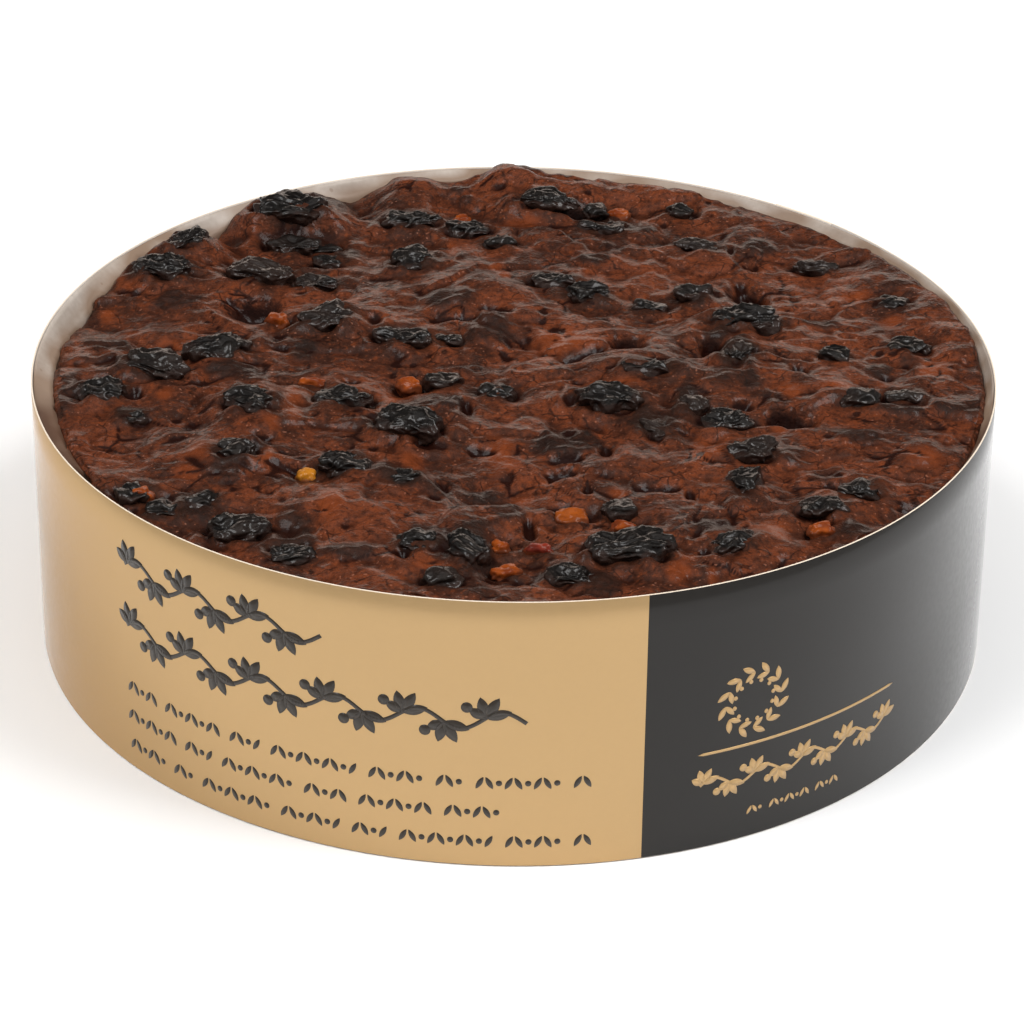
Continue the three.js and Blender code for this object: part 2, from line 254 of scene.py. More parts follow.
# ---- meshes ----
def make_piece(name, points, faces, materials, indices=None, marks=None):
    """A smooth mesh from millimetre points, riding on the part, with its marks as point attributes."""
    mesh = bpy.data.meshes.new(name)
    mesh.from_pydata((np.asarray(points) * MM).tolist(), [], faces)
    for material in materials:
        mesh.materials.append(material)
    mesh.polygons.foreach_set("use_smooth", [True] * len(mesh.polygons))
    if indices is not None:
        mesh.polygons.foreach_set("material_index", indices)
    for mark, values in (marks or {}).items():
        layer = mesh.attributes.new(mark, "FLOAT", "POINT")
        layer.data.foreach_set("value", np.asarray(values, dtype=np.float32))
    mesh.update()
    piece = bpy.data.objects.new(name, mesh)
    bpy.context.scene.collection.objects.link(piece)
    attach(piece, "root")
    return piece


def tree_of(node):
    """A ray tree over a CAD node, in metres."""
    mesh = node.data
    mesh.calc_loop_triangles()
    return BVHTree.FromPolygons([v.co for v in mesh.vertices], [t.vertices for t in mesh.loop_triangles])


# ---- fruit footprints ----
class Fruit:
    """A flattened lump: its middle, half sizes and turn, in millimetres and radians."""

    rise = 0.64  # of half its width, half its height where the solid doesn't give it
    buried = 0.3  # how far up its side the crumb comes, -1 to 1

    def __init__(self, x, y, length, width, turn):
        self.x, self.y, self.half_length, self.half_width, self.turn = x, y, length / 2, width / 2, turn
        self.z = self.half_height = None

    @classmethod
    def of_node(cls, node):
        """The footprint of a CAD raisin, from its vertices."""
        corners = np.array([v.co for v in node.data.vertices]) / MM
        low, high = corners.min(axis=0), corners.max(axis=0)
        middle = (low + high) / 2
        flat = corners[:, :2] - corners[:, :2].mean(axis=0)
        _, axes = np.linalg.eigh(flat.T @ flat)
        along = axes[:, 1]
        turn = math.atan2(along[1], along[0])
        reach = corners[:, :2] @ np.column_stack([along, (-along[1], along[0])])
        length, width = reach.max(axis=0) - reach.min(axis=0)
        fruit = cls(middle[0], middle[1], length, width, turn)
        fruit.z, fruit.half_height = middle[2], (high[2] - low[2]) / 2
        return fruit

    def radius_at(self, x, y):
        """1 on the footprint's outline, 0 in its middle."""
        cos, sin = math.cos(self.turn), math.sin(self.turn)
        along = ((x - self.x) * cos + (y - self.y) * sin) / self.half_length
        across = ((y - self.y) * cos - (x - self.x) * sin) / self.half_width
        return np.hypot(along, across)


class Nut(Fruit):
    rise = 0.9
    buried = 0.15


def listed(places, kind=Fruit):
    return [kind(x, y, length, width, math.radians(turn)) for x, y, length, width, turn in places]


def on_top(across, down):
    """Where a pixel of the photograph meets the cake's top: x and y in millimetres."""
    pixel = SENSOR / LENS / PICTURE
    aside, below = (across - PICTURE / 2) * pixel, (down - PICTURE / 2) * pixel
    right = aside * math.cos(ROLL) + below * math.sin(ROLL)
    up = aside * math.sin(ROLL) - below * math.cos(ROLL)
    drop = math.sin(ELEVATION) - up * math.cos(ELEVATION)
    reach = (VIEW_AIM + VIEW_DISTANCE * math.sin(ELEVATION) - SKIN_LEVEL) / drop
    ahead = math.cos(ELEVATION) + up * math.sin(ELEVATION)
    return reach * right, reach * ahead - VIEW_DISTANCE * math.cos(ELEVATION)


def seen(boxes, hollow=False):
    """Places on the cake's top, to the half millimetre, from boxes in the photograph."""
    places = []
    for across, down, width, height, *turn in boxes:
        x, y = on_top(across, down)
        length = on_top(across + width / 2, down)[0] - on_top(across - width / 2, down)[0]
        depth = on_top(across, down - height / 2)[1] - on_top(across, down + height / 2)[1]
        if hollow:
            depth = min(HOLLOW_SHARE * depth, HOLLOW_STRETCH * length)
        rounded = [round(2 * size) / 2 for size in (x, y, length, max(SLIMMEST, depth))]
        places.append(rounded + (turn or [0]))
    return places


# ---- the cake ----
def disc_grid(count):
    """A square grid pressed on to a unit disc, with cells of nearly equal size."""
    side = np.linspace(-1, 1, count)
    u, v = np.meshgrid(side, side)
    wide = np.abs(u) > np.abs(v)
    radius = np.where(wide, u, v)
    share = np.where(wide, v, u) / np.where(radius == 0, 1, radius)
    angle = np.where(wide, math.pi / 4 * share, math.pi / 2 - math.pi / 4 * share)
    return radius * np.cos(angle), radius * np.sin(angle)


def blurred(grid, sigma):
    """A grid smoothed by a Gaussian of so many steps."""
    reach = int(3 * sigma) + 1
    weights = np.exp(-0.5 * (np.arange(-reach, reach + 1) / sigma) ** 2)
    weights /= weights.sum()
    for axis in (0, 1):
        padded = np.pad(grid, [(reach, reach) if a == axis else (0, 0) for a in (0, 1)], mode="edge")
        size = grid.shape[axis]
        grid = sum(w * np.take(padded, range(k, k + size), axis=axis) for k, w in enumerate(weights))
    return grid


def filled(grid, hidden, rounds=500):
    """A grid whose hidden places are filled in smoothly from those round them."""
    grid = np.where(hidden, grid[~hidden].mean(), grid)
    for _ in range(rounds):
        padded = np.pad(grid, 1, mode="edge")
        mean = (padded[:-2, 1:-1] + padded[2:, 1:-1] + padded[1:-1, :-2] + padded[1:-1, 2:]) / 4
        grid = np.where(hidden, mean, grid)
    return grid


def side_radius(tree, count=360):
    """The cake's radius at each degree round its middle, by rays from outside at half height."""
    radii = []
    for k in range(count):
        angle = TURN * k / count
        out = Vector((math.cos(angle), math.sin(angle), 0))
        middle = Vector((CAKE_MIDDLE[0], 0, CAKE_HIGH[2] / 2)) * MM
        hit = tree.ray_cast(middle + out * 2 * COLLAR_RADIUS * MM, -out)[0]
        radii.append((hit - middle).length / MM)
    return np.array(radii)


def billow(value, softness=0.06):
    """Rounded lumps with creases between them, out of plain noise."""
    return np.sqrt(value**2 + softness**2)


def covered(places, x, y, ragged, blur=0.2):
    """How far each point lies within any of the places, their outlines made ragged: 1 inside, 0 outside."""
    cover = np.zeros(len(x))
    for place in listed(places):
        cover = np.maximum(cover, step_up(place.radius_at(x, y) + ragged, 1 + blur, 1 - blur))
    return cover


def crumb_relief(x, y):
    """Relief of the sticky crumb too fine for the solid and what is cut out of it, in millimetres, with marks
    for its colours: buried is dark fruit under the skin, glow is peel or nut that shines through, open is a
    pit, crack or hollow, whose colour is later darkened as painted shade."""
    bends = [2.2 * plane_noise(x, y, 12, 12, k) + 0.9 * plane_noise(x, y, 4, 4, k + 1) for k in (11, 13)]
    bent = (x + bends[0], y + bends[1])
    ragged = 0.35 * plane_noise(x, y, 3.5, 3.5, 10) + 0.15 * plane_noise(x, y, 1.4, 1.4, 9)
    rough = step_up(plane_noise(x, y, 14, 12, 17), -0.4, 0.2)
    relief = np.full(len(x), -RELIEF_MEAN)
    for length, width, seed, height, smooth in BILLOWS:
        relief += height * (smooth + (1 - smooth) * rough) * billow(plane_noise(*bent, length, width, seed))
    for length, width, seed, height, softness in LEDGES:
        relief += height * step_up(plane_noise(*bent, length, width, seed), -0.02, softness)
    for length, width, seed, height in FOLDS:
        fold = np.exp(-((plane_noise(*bent, length, width, seed) / FOLD_WIDTH) ** 2))
        relief += height * fold * step_up(plane_noise(x, y, 11, 9, seed + 5), 0.0, 0.35)
    depth, own = cells(*bent, 9, 7, 21)
    buried = 0.75 * step_up(own, 0.86, 0.88) * step_up(depth, 0.0, 0.5)
    buried = np.maximum(buried, covered(seen(SUNKEN), x, y, ragged, 0.4))
    relief += buried * (0.3 + 0.9 * billow(plane_noise(*bent, 4, 1.8, 26)))
    glow = covered(seen(GLOWS), x, y, ragged, 0.6) * (1 - 0.8 * buried)
    split, _ = cells(*bent, 8, 7, 24)
    cracks = step_up(split, 0.1, 0.02) * step_up(plane_noise(x, y, 7, 7, 25), 0.2, 0.45)
    pitted = step_up(plane_noise(x, y, 11, 10, 44), 0.1, 0.5)
    pits = step_up(plane_noise(x, y, 2.3, 2.1, 43), 0.32, 0.62) * pitted
    wells = covered(WELLS, x, y, ragged, 0.35)
    holes = np.maximum(covered(seen(HOLES, hollow=True), x, y, 1.3 * ragged, 0.45), wells)
    cuts = SHALLOW_CUT * np.maximum(pits, cracks) + DEEP_CUT * (holes + wells)
    opened = np.maximum.reduce([pits, cracks, holes, np.sqrt(wells)])
    return relief, cuts, {"buried": buried, "glow": glow, "open": opened}


def height_over(tree, x, y):
    """The solid's height over a place, in millimetres."""
    hit = tree.ray_cast(Vector((x * MM, y * MM, 2 * CAKE_HIGH[2] * MM)), Vector((0, 0, -1)))[0]
    return hit.z / MM


def smoothed_solid(tree, x, y, loose, fused):
    """The height of the solid's top, smoothed and with the fruit filled over. Fused fruit gets its own
    height from the solid."""
    solid = np.array([height_over(tree, *place) for place in zip(x, y)])
    hidden = np.zeros(len(x), dtype=bool)
    for fruit in loose + fused:
        hidden |= fruit.radius_at(x, y) < 1 + FRUIT_MARGIN / fruit.half_width
    for fruit in fused:
        fruit.half_height = fruit.rise * fruit.half_width
        fruit.z = height_over(tree, fruit.x, fruit.y) - fruit.half_height - SUNK
    return blurred(filled(solid.reshape(GRID), hidden.reshape(GRID)), SMOOTHING).ravel()


def bedded(top, relief, gap, x, y, fruits):
    """The top drawn up to each fruit, with the gap round it, whose colour is painted shade, and how near each
    point lies to a fruit, where the crumb is coloured darker.
    """
    near_fruit_dark = np.zeros(len(x))
    clutch = plane_noise(x, y, 4.5, 4.5, 51)
    for fruit in fruits:
        from_edge = (fruit.radius_at(x, y) - 1) * fruit.half_width
        cover = np.clip(fruit.buried + 0.7 * clutch, -0.2, 0.95)
        near = np.exp(-((np.maximum(from_edge, 0) / BED_REACH) ** 2))
        lip = fruit.z + fruit.half_height * cover + 0.5 * relief
        seam = np.exp(-((from_edge / SEAM_WIDTH) ** 2)) * step_up(-clutch, 0.0, 0.5)
        top = top + near * (lip - top) - SEAM_DEPTH * seam
        gap = np.maximum(gap, seam)
        near_fruit_dark = np.maximum(near_fruit_dark, np.exp(-np.maximum(from_edge, 0) / NEAR_FRUIT_DARK_REACH))
    return top, gap, near_fruit_dark


def side_rings(edge):
    """Rings down the cake's side: how far out from the top's grid each lies, and its heights."""
    rings = []
    for bend in math.pi / 2 * np.arange(1, SHOULDER_STEPS + 1) / SHOULDER_STEPS:
        rings.append((SHOULDER * math.sin(bend), edge - SHOULDER * (1 - math.cos(bend))))
    for share in np.arange(1, WALL_STEPS + 1) / WALL_STEPS:
        rings.append((SHOULDER, (edge - SHOULDER) * (1 - share) + FOOT_ROUNDING * share))
    rings.append((SHOULDER - 0.3 * FOOT_ROUNDING, np.full(len(edge), 0.3 * FOOT_ROUNDING)))
    rings.append((SHOULDER - FOOT_ROUNDING, np.zeros(len(edge))))
    return rings


def make_cake(material, loose, fused):
    """The cake: the solid's top with the fine relief, drawn up to the fruit, and a rough side below it."""
    tree = tree_of(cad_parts["cake"])
    radii = side_radius(tree)
    unit_x, unit_y = disc_grid(TOP_COUNT)
    angles = np.degrees(np.arctan2(unit_y, unit_x)) % 360
    reach = np.interp(angles, np.arange(361), np.append(radii, radii[0])) - SHOULDER
    x, y = (CAKE_MIDDLE[0] + unit_x * reach).ravel(), (unit_y * reach).ravel()

    base = smoothed_solid(tree, x, y, loose, fused)
    relief, cuts, marks = crumb_relief(x, y)
    top, gap, near_fruit_dark = bedded(base + relief, relief, marks.pop("open"), x, y, loose + fused)
    top -= blurred(cuts.reshape(GRID), 1.1).ravel()
    grid = blurred(top.reshape(GRID), 0.6)
    top = grid.ravel()
    # Marks for the crumb's colour: hollow, how far a point lies under the smoothed top, darkens the creases
    # as painted shade; gap darkens pits, cracks, hollows and the seams round fruit as painted shade; the
    # third darkens the crumb close round each fruit.
    marks |= {"hollow": (blurred(grid, 3) - grid).ravel(), "gap": gap, "near_fruit_dark": near_fruit_dark}

    points = [np.column_stack([x, y, top])]
    quad = np.arange(len(x)).reshape(GRID)
    corners = [quad[:-1, :-1], quad[:-1, 1:], quad[1:, 1:], quad[1:, :-1]]
    faces = np.stack(corners, axis=-1).reshape(-1, 4).tolist()
    rim = np.concatenate([quad[0, :-1], quad[:-1, -1], quad[-1, :0:-1], quad[:0:-1, 0]])
    outward = np.column_stack([x[rim] - CAKE_MIDDLE[0], y[rim]])
    outward /= np.linalg.norm(outward, axis=1)[:, None]
    edge = top[rim]
    above, start = rim, len(x)
    for out, height in side_rings(edge):
        spot = np.column_stack([x[rim], y[rim]]) + outward * out
        rough = 0.5 * noise(np.column_stack([spot / 3, height / 3]), 61)
        rough *= 0 if np.all(height < FOOT_ROUNDING) else 1
        spot += outward * (rough - 0.5)[:, None]
        points.append(np.column_stack([spot, height]))
        below = start + np.arange(len(rim))
        faces += np.column_stack([above, below, np.roll(below, -1), np.roll(above, -1)]).tolist()
        above, start = below, start + len(rim)
    points.append([[CAKE_MIDDLE[0], 0, 0]])
    faces += [[start, b, a] for a, b in zip(above, np.roll(above, -1))]
    points = np.vstack(points)
    marks = {name: np.append(values, np.zeros(len(points) - len(x))) for name, values in marks.items()}
    piece = make_piece("cake_crumb", points, faces, [material], marks=marks)
    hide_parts("cake")
    return radii, np.degrees(np.arctan2(outward[:, 1], outward[:, 0])), edge


def make_paper(material, radii, angles, edge):
    """The paper hugs the cake's side and leans out to the card above the crumb's edge."""
    order = np.argsort(angles)
    degrees = np.arange(0, 360, PAPER_STEP)
    heights = np.interp(degrees, angles[order], edge[order], period=360)
    heights = np.array([np.roll(heights, k) for k in (-2, -1, 0, 1, 2)]).mean(axis=0)
    touch = np.minimum(heights - 0.8, PAPER_TOP - 1.2)
    ramps = (PAPER_TORN, PAPER_SOAKED, PAPER_HIDDEN)
    torn, drenched, hidden = (np.interp(degrees, ends, (0, 1, 1, 0)) for ends in ramps)
    top = PAPER_TOP * (1 - torn) + (touch + 0.4 - 1.4 * hidden) * torn
    out = np.column_stack([np.cos(np.radians(degrees)), np.sin(np.radians(degrees))])
    hug = out * (np.interp(degrees, np.arange(360), radii, period=360) - 0.6)[:, None] + (CAKE_MIDDLE[0], 0)
    card = out * (COLLAR_RADIUS - CARD - 2 * PAPER)
    card += (hug - card) * hidden[:, None]
    levels = [(0, np.full(len(degrees), PAPER_FOOT)), (0, touch / 2), (0, touch - 4), (0, touch)]
    levels += [(k / PAPER_LEAN, touch + (top - touch) * k / PAPER_LEAN) for k in range(1, PAPER_LEAN + 1)]
    rings, soaked = [], []
    for side, stack in ((0, levels), (PAPER, levels[::-1])):
        for share, height in stack:
            spot = hug * (1 - share**0.8) + card * share**0.8 + out * side
            rings.append(np.column_stack([spot, height]))
            blots = 0.75 + 0.5 * noise(np.column_stack([spot / 7, height / 3]), 91)
            wet = blots * np.exp(-np.maximum(height - touch, 0) / 3.2)
            soaked.append(np.maximum(wet, drenched * (1.6 + blots) / 2))
    count, total = len(degrees), len(rings)
    faces = []
    for k in range(total):
        near, far = k * count + np.arange(count), (k + 1) % total * count + np.arange(count)
        faces += np.column_stack([near, np.roll(near, -1), np.roll(far, -1), far]).tolist()
    marks = {"soaked": np.concatenate(soaked)}
    piece = make_piece("greaseproof_paper", np.vstack(rings), faces, [material], marks=marks)


# ---- fruit ----
def unit_ball(level):
    """Corners and triangles of a ball of radius 1."""
    ball = bmesh.new()
    bmesh.ops.create_icosphere(ball, subdivisions=level, radius=1)
    points = np.array([v.co[:] for v in ball.verts])
    faces = np.array([[v.index for v in face.verts] for face in ball.faces])
    ball.free()
    return points, faces


def wrinkled(ball, fruit, seed):
    """A raisin: a lumpy, flat-topped ball of skin drawn into folds that run mostly along it."""
    size = np.array([fruit.half_length, fruit.half_width, fruit.half_height])
    flesh = ball * size
    shift = np.array([seed * 7.3, seed * 3.1, seed * 5.7])
    bent = flesh + 1.1 * np.column_stack([noise(flesh / 3.2 + shift, s) for s in (71, 72, 73)])
    folds = 1 - np.clip(2.2 * np.abs(noise(bent / (5.5, 2.4, 2.4) + shift, 74)), 0, 1)
    creases = 1 - np.clip(2 * np.abs(noise(bent / (2.6, 1.2, 1.2) + shift, 75)), 0, 1)
    lumps = noise(flesh / (4.5, 3.5, 3.5) + shift, 76) + 0.6 * noise(flesh / (9, 7, 7) + shift, 77)
    height = FOLD_RISE * (folds - 0.5) + CREASE_RISE * (creases - 0.5) + LUMP_RISE * lumps
    flat = np.sign(ball) * np.abs(ball) ** (0.9, 0.9, 0.7)
    skin = flat * size * (0.96, 0.96, 0.9) + ball * height[:, None] * (1, 1, 0.75)
    return skin, 0.6 * (folds + creases)


def chopped(ball, fruit, seed):
    """A piece of nut or peel: a rounded lump with a few flats."""
    size = np.array([fruit.half_length, fruit.half_width, fruit.half_height])
    shift = np.array([seed * 5.1, seed * 2.3, seed * 6.1])
    lumps = noise(ball * 1.2 + shift, 81) + 0.5 * noise(ball * 2.6 + shift, 82)
    boxy = np.sign(ball) * np.abs(ball) ** (0.85, 0.85, 0.95)
    return boxy * size * (1 + 0.3 * lumps[:, None]), lumps


def make_fruit(name, fruits, shaper, level, material):
    """One piece that holds all fruit of a kind. Its marks are crest, the folds of the skin, by which the
    raisins' valleys are darkened as painted shade; proud, how high up the fruit a point is; and veil, each
    fruit's own random number."""
    ball, triangles = unit_ball(level)
    points, faces, crests = [], [], []
    for seed, fruit in enumerate(fruits):
        body, crest = shaper(ball, fruit, seed)
        cos, sin = math.cos(fruit.turn), math.sin(fruit.turn)
        turned = body @ np.array([[cos, sin, 0], [-sin, cos, 0], [0, 0, 1]])
        faces += (triangles + len(ball) * seed).tolist()
        points.append(turned + (fruit.x, fruit.y, fruit.z))
        crests.append(crest)
    veils = np.repeat(hashed(np.arange(len(fruits))[:, None], 171), len(ball))
    marks = {"crest": np.concatenate(crests), "proud": np.tile(ball[:, 2], len(fruits)), "veil": veils}
    piece = make_piece(name, np.vstack(points), faces, [material], marks=marks)
    return piece


# ---- the collar ----
def make_collar(materials):
    """One strip of card: from its inner end once round to where its outer end lies over it. Its materials
    are the gold and the dark ink, the inside and the cut edges."""
    steps = round((360 + LAP_LENGTH) / COLLAR_STEP)
    degrees = LAP_START + COLLAR_STEP * np.arange(steps + 1)
    climb = CARD * step_up(degrees, 360 + LAP_START - LAP_RAMP, 360 + LAP_START)
    levels = [COLLAR_HEIGHT * k / CARD_BANDS for k in range(1, CARD_BANDS)]
    top = COLLAR_HEIGHT - CUT_ROUNDING
    outside = [(0, 0.5 * CUT_ROUNDING), (0, CUT_ROUNDING)] + [(0, level) for level in levels] + [(0, top)]
    rim = [(-CUT_ROUNDING, COLLAR_HEIGHT), (CUT_ROUNDING - CARD, COLLAR_HEIGHT)]
    inside = [(-CARD, top)] + [(-CARD, level) for level in reversed(levels)] + [(-CARD, CUT_ROUNDING)]
    profile = outside + rim + inside + [(CUT_ROUNDING - CARD, 0), (-CUT_ROUNDING, 0)]
    outer = range(len(outside) - 1)
    inner = range(len(outside + rim), len(outside + rim + inside) - 1)
    count = len(profile)
    points, faces, indices = [], [], []
    for angle, rise in zip(np.radians(degrees), climb):
        for out, height in profile:
            reach = COLLAR_RADIUS + out + rise
            points.append((reach * math.cos(angle), reach * math.sin(angle), height))
    for k in range(steps):
        ink = 1 if INK_EDGE < degrees[k] + COLLAR_STEP / 2 - 360 < LAP_START else 0
        for j in range(count):
            a, b = k * count + j, k * count + (j + 1) % count
            faces.append((a, a + count, b + count, b))
            indices.append(ink if j in outer else 2 if j in inner else 3)
    faces.append(tuple(range(count)))
    faces.append(tuple(reversed(range(steps * count, (steps + 1) * count))))
    indices += [2, 2]
    piece = make_piece("collar_card", points, faces, materials, indices=indices)
    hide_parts("collar")


# ---- the print ----
INK_DEPTH = 0.02  # how far the print reaches into the card
INK_RISE = 0.05  # and how far it stands out of it
TIP = 0.04  # width of a pointed end


def straight(start, end, widths):
    """Stations of a stroke on the flat sheet: along, up and width."""
    share = np.linspace(0, 1, len(widths))[:, None]
    return np.column_stack([np.array(start) * (1 - share) + np.array(end) * share, widths])


def bar(along, up, length, height):
    """A rule with round ends."""
    stations = np.linspace(0, length, max(9, round(length)))
    from_end = np.clip(np.minimum(stations, length - stations), 0, height / 2)
    widths = 2 * np.sqrt(np.maximum((height / 2) ** 2 - (height / 2 - from_end) ** 2, 0)) + TIP
    return np.column_stack([along + stations, np.full(len(stations), up), widths])


def dot(along, up, radius):
    across = -radius * np.cos(np.linspace(0, math.pi, 11))
    widths = 2 * np.sqrt(np.maximum(radius**2 - across**2, 0)) + TIP
    return np.column_stack([along + across, np.full(11, up), widths])


def leaf(along, up, length, width, turn):
    end = (along + length * math.cos(turn), up + length * math.sin(turn))
    return straight((along, up), end, width * np.sin(np.linspace(0, math.pi, 9)) ** 0.8 + TIP)


def garland(start, end, up, height):
    """A waving stem between two places, with leaves and berries on alternate sides."""
    along = np.linspace(start, end, round(2 * (end - start)))
    swing = 0.2 * height
    period = 1.7 * height
    phase = TURN * (along - start) / period
    strokes = [np.column_stack([along, up + swing * np.sin(phase), np.full(len(along), 0.09 * height)])]
    for k in range(round(2 * (end - start) / period)):
        side = 1 if k % 2 else -1
        foot = start + (k + 0.1) * period / 2
        level = up + swing * math.sin(TURN * (foot - start) / period)
        for turn, share in ((0.3, 0.55), (1.05, 0.55), (1.8, 0.5), (2.6, 0.4)):
            strokes.append(leaf(foot, level, share * height, 0.23 * height, -side * turn))
        if foot + period / 2 < end:
            strokes.append(dot(foot + 0.55 * period / 2, up + side * 0.3 * height, 0.12 * height))
    return strokes


def wreath(along, up, radius):
    """Leaves set slanting round a ring, with berries between."""
    count = 12
    strokes = []
    for k in range(count):
        angle = TURN * k / count
        spot = (along + radius * math.cos(angle), up + radius * math.sin(angle))
        strokes.append(leaf(*spot, 0.5 * radius, 0.2 * radius, angle + 1.1))
        strokes.append(leaf(*spot, 0.45 * radius, 0.18 * radius, angle + 2.3))
        berry = (along + 0.7 * radius * math.cos(angle + 0.2), up + 0.7 * radius * math.sin(angle + 0.2))
        strokes.append(dot(*berry, 0.07 * radius))
    return strokes


def sprigs(start, up, groups, height):
    """A row of little leaves, leaning both ways by turns, and dots between, in groups of so many marks."""
    strokes = []
    for count in groups:
        for k in range(count):
            if k % 3 == 2:
                strokes.append(dot(start, up, 0.2 * height))
            else:
                turn = math.pi / 2 + (0.5 if k % 3 else -0.5)
                foot = (start - 0.5 * height * math.cos(turn), up - 0.5 * height * math.sin(turn))
                strokes.append(leaf(*foot, height, 0.34 * height, turn))
            start += 0.62 * height
        start += 0.7 * height
    return strokes


def make_print(name, strokes, material):
    """Strokes laid round the collar as thin solids; along is measured round it from its front."""
    points, faces = [], []
    for stroke in strokes:
        line, widths = stroke[:, :2], stroke[:, 2]
        heading = np.gradient(line, axis=0)
        heading /= np.linalg.norm(heading, axis=1)[:, None]
        beside = np.column_stack([-heading[:, 1], heading[:, 0]]) * widths[:, None] / 2
        first = len(points)
        for near, far in zip(line + beside, line - beside):
            corners = ((near, INK_RISE), (far, INK_RISE), (far, -INK_DEPTH), (near, -INK_DEPTH))
            for (along, up), out in corners:
                angle = along / COLLAR_RADIUS - math.pi / 2
                reach = COLLAR_RADIUS + out
                points.append((reach * math.cos(angle), reach * math.sin(angle), up))
        for k in range(len(line) - 1):
            for j in range(4):
                a, b = first + 4 * k + j, first + 4 * k + (j + 1) % 4
                faces.append((a, b, b + 4, a + 4))
        last = first + 4 * (len(line) - 1)
        faces.append((first + 3, first + 2, first + 1, first))
        faces.append((last, last + 1, last + 2, last + 3))
    piece = make_piece(name, points, faces, [material])


# ---- materials ----
WHITE = (1, 1, 1, 1)
CRUMB_DEEP, CRUMB_RED = (60, 33, 23), (104, 52, 30)
CRUMB_DARK_GRAIN, CRUMB_PALE_GRAIN, CRUMB_FINE_GRAIN = (38, 18, 11), (120, 58, 28), (32, 14, 9)
# The first colour below is painted highlight: pale specks that stand in for the crumb's tiny glints.
CRUMB_PAINTED_GLINT, CRUMB_VEIN = (160, 104, 82), (24, 10, 6)
CRUMB_MARKS = (  # mark, where it starts and is full, how much of its colour then shows, and the colour
    ("glow", 0.0, 1.0, 0.5, (130, 60, 25)),
    ("buried", 0.1, 0.9, 0.8, (28, 20, 17)),
    # The crumb coloured darker close round each fruit.
    ("near_fruit_dark", 0.2, 0.9, 0.7, (36, 22, 16)),
    # Painted shade: the creases and hollows darkened to a deep red.
    ("hollow", 0.1, 0.6, 0.85, (30, 10, 5)),
    # Painted shade: pits, cracks, hollows and the seams round fruit darkened to near black.
    ("gap", 0.1, 0.7, 0.92, (26, 6, 3)),
)
# The third colour is painted shade, for the valleys between a raisin's folds.
RAISIN_DARK, RAISIN_PALE, RAISIN_VALLEY_SHADE = (10, 8, 7), (20, 16, 14), (6, 4, 4)
RAISIN_VEIL, RAISIN_FILM = (38, 28, 24), (38, 23, 18)
NUT_PALE, NUT_DEEP, NUT_RIPE = (142, 66, 20), (106, 44, 16), (172, 108, 28)
CHERRY_PALE, CHERRY_DEEP, CHERRY_RIPE = (124, 44, 30), (84, 26, 18), (112, 36, 24)
NUT_SPECK, NUT_FILM = (96, 44, 26), (86, 42, 24)
GOLD, GOLD_EDGE, DARK = (192, 159, 113), (200, 163, 118), (32, 29, 26)
PRINT_DARK, PRINT_GOLD = (48, 41, 34), (196, 160, 110)
CARD_PALE, CARD_PALER = (216, 206, 197), (226, 217, 208)
CARD_STAIN, CARD_GREASE = (198, 180, 162), (180, 154, 130)
CUT_PALE, CUT_PALER = (222, 204, 182), (236, 222, 204)
PAPER_PALE, PAPER_PALER, PAPER_SPECK = (182, 172, 162), (196, 186, 176), (110, 78, 52)
PAPER_GREASED, PAPER_DRENCHED = (130, 106, 86), (84, 58, 42)


def rgb(red, green, blue):
    """A colour given as it is seen on a screen, 0 to 255, as the linear colour that Blender takes."""
    shares = [v / 255 for v in (red, green, blue)]
    return [v / 12.92 if v <= 0.04045 else ((v + 0.055) / 1.055) ** 2.4 for v in shares] + [1]


